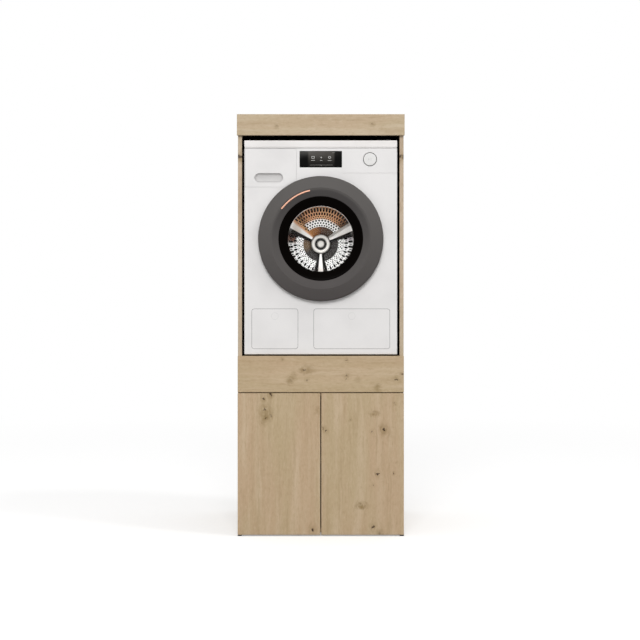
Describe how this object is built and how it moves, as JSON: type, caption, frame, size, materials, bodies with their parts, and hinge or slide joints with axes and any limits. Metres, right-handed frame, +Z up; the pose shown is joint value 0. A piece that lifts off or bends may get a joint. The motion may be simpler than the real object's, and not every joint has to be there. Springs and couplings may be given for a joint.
{
  "type": "washing machine cabinet",
  "caption": "Tall oak-faced laundry cabinet: push-to-open cupboard below, thick platform, and an open niche holding a white front-loading washing machine at hand height.",
  "frame": {"origin": "on the floor, under the middle of the whole object", "axes": "+Z up, the front faces -Y, +X is on the right as seen from the front"},
  "size_m": [0.656, 0.6776, 1.65],
  "materials": {
    "oak_front": "matt, knotty oak print",
    "oak_side": "matt oak print",
    "carcass_board": "matt",
    "black_lining": "matt black",
    "dark_plastic": "matt",
    "grey_plastic": "satin",
    "bright_steel": "satin",
    "drum_steel": "polished",
    "white_enamel": "satin white",
    "white_plastic": "satin white",
    "black_glass": "gloss black",
    "frame_grey": "satin grey",
    "clear_glass": "clear",
    "copper": "polished copper tone",
    "rubber": "matt",
    "tub_plastic": "matt"
  },
  "bodies": {
    "root": {"side_panel_left": "oak_side", "side_panel_right": "oak_side", "glide_left": "dark_plastic", "glide_right": "dark_plastic", "base_panel": "carcass_board", "back_panel": "carcass_board", "shelf": "carcass_board", "top_panel": "oak_front", "top_fascia": "oak_front", "rear_stretcher": "carcass_board", "platform_board": "carcass_board", "platform_rail_front": "carcass_board", "platform_rail_rear": "carcass_board", "middle_fascia": "oak_front", "niche_lining_left": "black_lining", "niche_lining_right": "black_lining", "niche_lining_top": "black_lining", "wall_bracket_left": "bright_steel", "wall_bracket_right": "bright_steel", "hinge_arm_left_lower": "bright_steel", "hinge_arm_left_upper": "bright_steel", "hinge_arm_right_lower": "bright_steel", "hinge_arm_right_upper": "bright_steel", "push_latch_left": "grey_plastic", "push_latch_right": "grey_plastic"},
    "door_left": {"door_left": "oak_front", "hinge_cup_left_lower": "bright_steel", "hinge_cup_left_upper": "bright_steel"},
    "door_right": {"door_right": "oak_front", "hinge_cup_right_lower": "bright_steel", "hinge_cup_right_upper": "bright_steel"},
    "plunger_left": {"push_plunger_left": "dark_plastic"},
    "plunger_right": {"push_plunger_right": "dark_plastic"},
    "washer": {"washer_casing": "white_enamel", "washer_top_cover": "white_plastic", "washer_foot_front_left": "rubber", "washer_foot_front_right": "rubber", "washer_foot_rear_left": "rubber", "washer_foot_rear_right": "rubber", "washer_front_panel": "white_enamel", "washer_display": "black_glass", "washer_door_hinge": "bright_steel", "washer_gasket": "rubber", "washer_tub": "tub_plastic", "washer_motor_stator": "dark_plastic", "washer_damper_left": "dark_plastic", "washer_damper_right": "dark_plastic"},
    "drum": {"washer_drum": "drum_steel", "washer_lifter_1": "drum_steel", "washer_lifter_2": "drum_steel", "washer_lifter_3": "drum_steel", "washer_drum_shaft": "dark_plastic"},
    "washer_door": {"washer_door_frame": "frame_grey", "washer_door_trim": "black_glass", "washer_door_glass": "clear_glass", "washer_door_accent": "copper"},
    "drawer": {"washer_drawer": "white_plastic"},
    "start_button": {"washer_start_button": "white_plastic"},
    "filter_flap": {"washer_filter_flap": "white_enamel"},
    "dosing_flap": {"washer_dosing_flap": "white_enamel"}
  },
  "joints": [
    {"name": "door_left_hinge", "type": "hinge", "parent": "root", "child": "door_left", "pos_m": [-0.325, -0.30325, 0.2821], "axis": [0, 0, -1], "range_deg": [0, 105]},
    {"name": "door_right_hinge", "type": "hinge", "parent": "root", "child": "door_right", "pos_m": [0.325, -0.30325, 0.2821], "axis": [0, 0, 1], "range_deg": [0, 105]},
    {"name": "push_plunger_left_slide", "type": "slide", "parent": "root", "child": "plunger_left", "axis": [0, -1, 0], "range_m": [0, 0.03]},
    {"name": "push_plunger_right_slide", "type": "slide", "parent": "root", "child": "plunger_right", "axis": [0, -1, 0], "range_m": [0, 0.03]},
    {"name": "washer_pull_slide", "type": "slide", "parent": "root", "child": "washer", "axis": [0, -1, 0], "range_m": [0, 0.08]},
    {"name": "drum_spin", "type": "hinge", "parent": "washer", "child": "drum", "pos_m": [0, -0.30125, 1.163], "axis": [0, 1, 0], "continuous": true},
    {"name": "washer_door_hinge", "type": "hinge", "parent": "washer", "child": "washer_door", "pos_m": [0.236, -0.31525, 1.163], "axis": [0, 0, 1], "range_deg": [0, 90]},
    {"name": "drawer_slide", "type": "slide", "parent": "washer", "child": "drawer", "axis": [0, -1, 0], "range_m": [0, 0.18]},
    {"name": "start_button_press", "type": "slide", "parent": "washer", "child": "start_button", "axis": [0, 1, 0], "range_m": [0, 0.0015], "stiffness_N_per_m": 400, "springref_m": -0.002},
    {"name": "filter_flap_hinge", "type": "hinge", "parent": "washer", "child": "filter_flap", "pos_m": [-0.1801, -0.30125, 0.7323], "axis": [1, 0, 0], "range_deg": [0, 85]},
    {"name": "dosing_flap_hinge", "type": "hinge", "parent": "washer", "child": "dosing_flap", "pos_m": [0.1215, -0.30125, 0.7323], "axis": [1, 0, 0], "range_deg": [0, 85]}
  ],
  "couplings": [
    {"joint": "push_plunger_left_slide", "follows": "door_left_hinge", "m_per_rad": 0.0163},
    {"joint": "push_plunger_right_slide", "follows": "door_right_hinge", "m_per_rad": 0.0163}
  ]
}
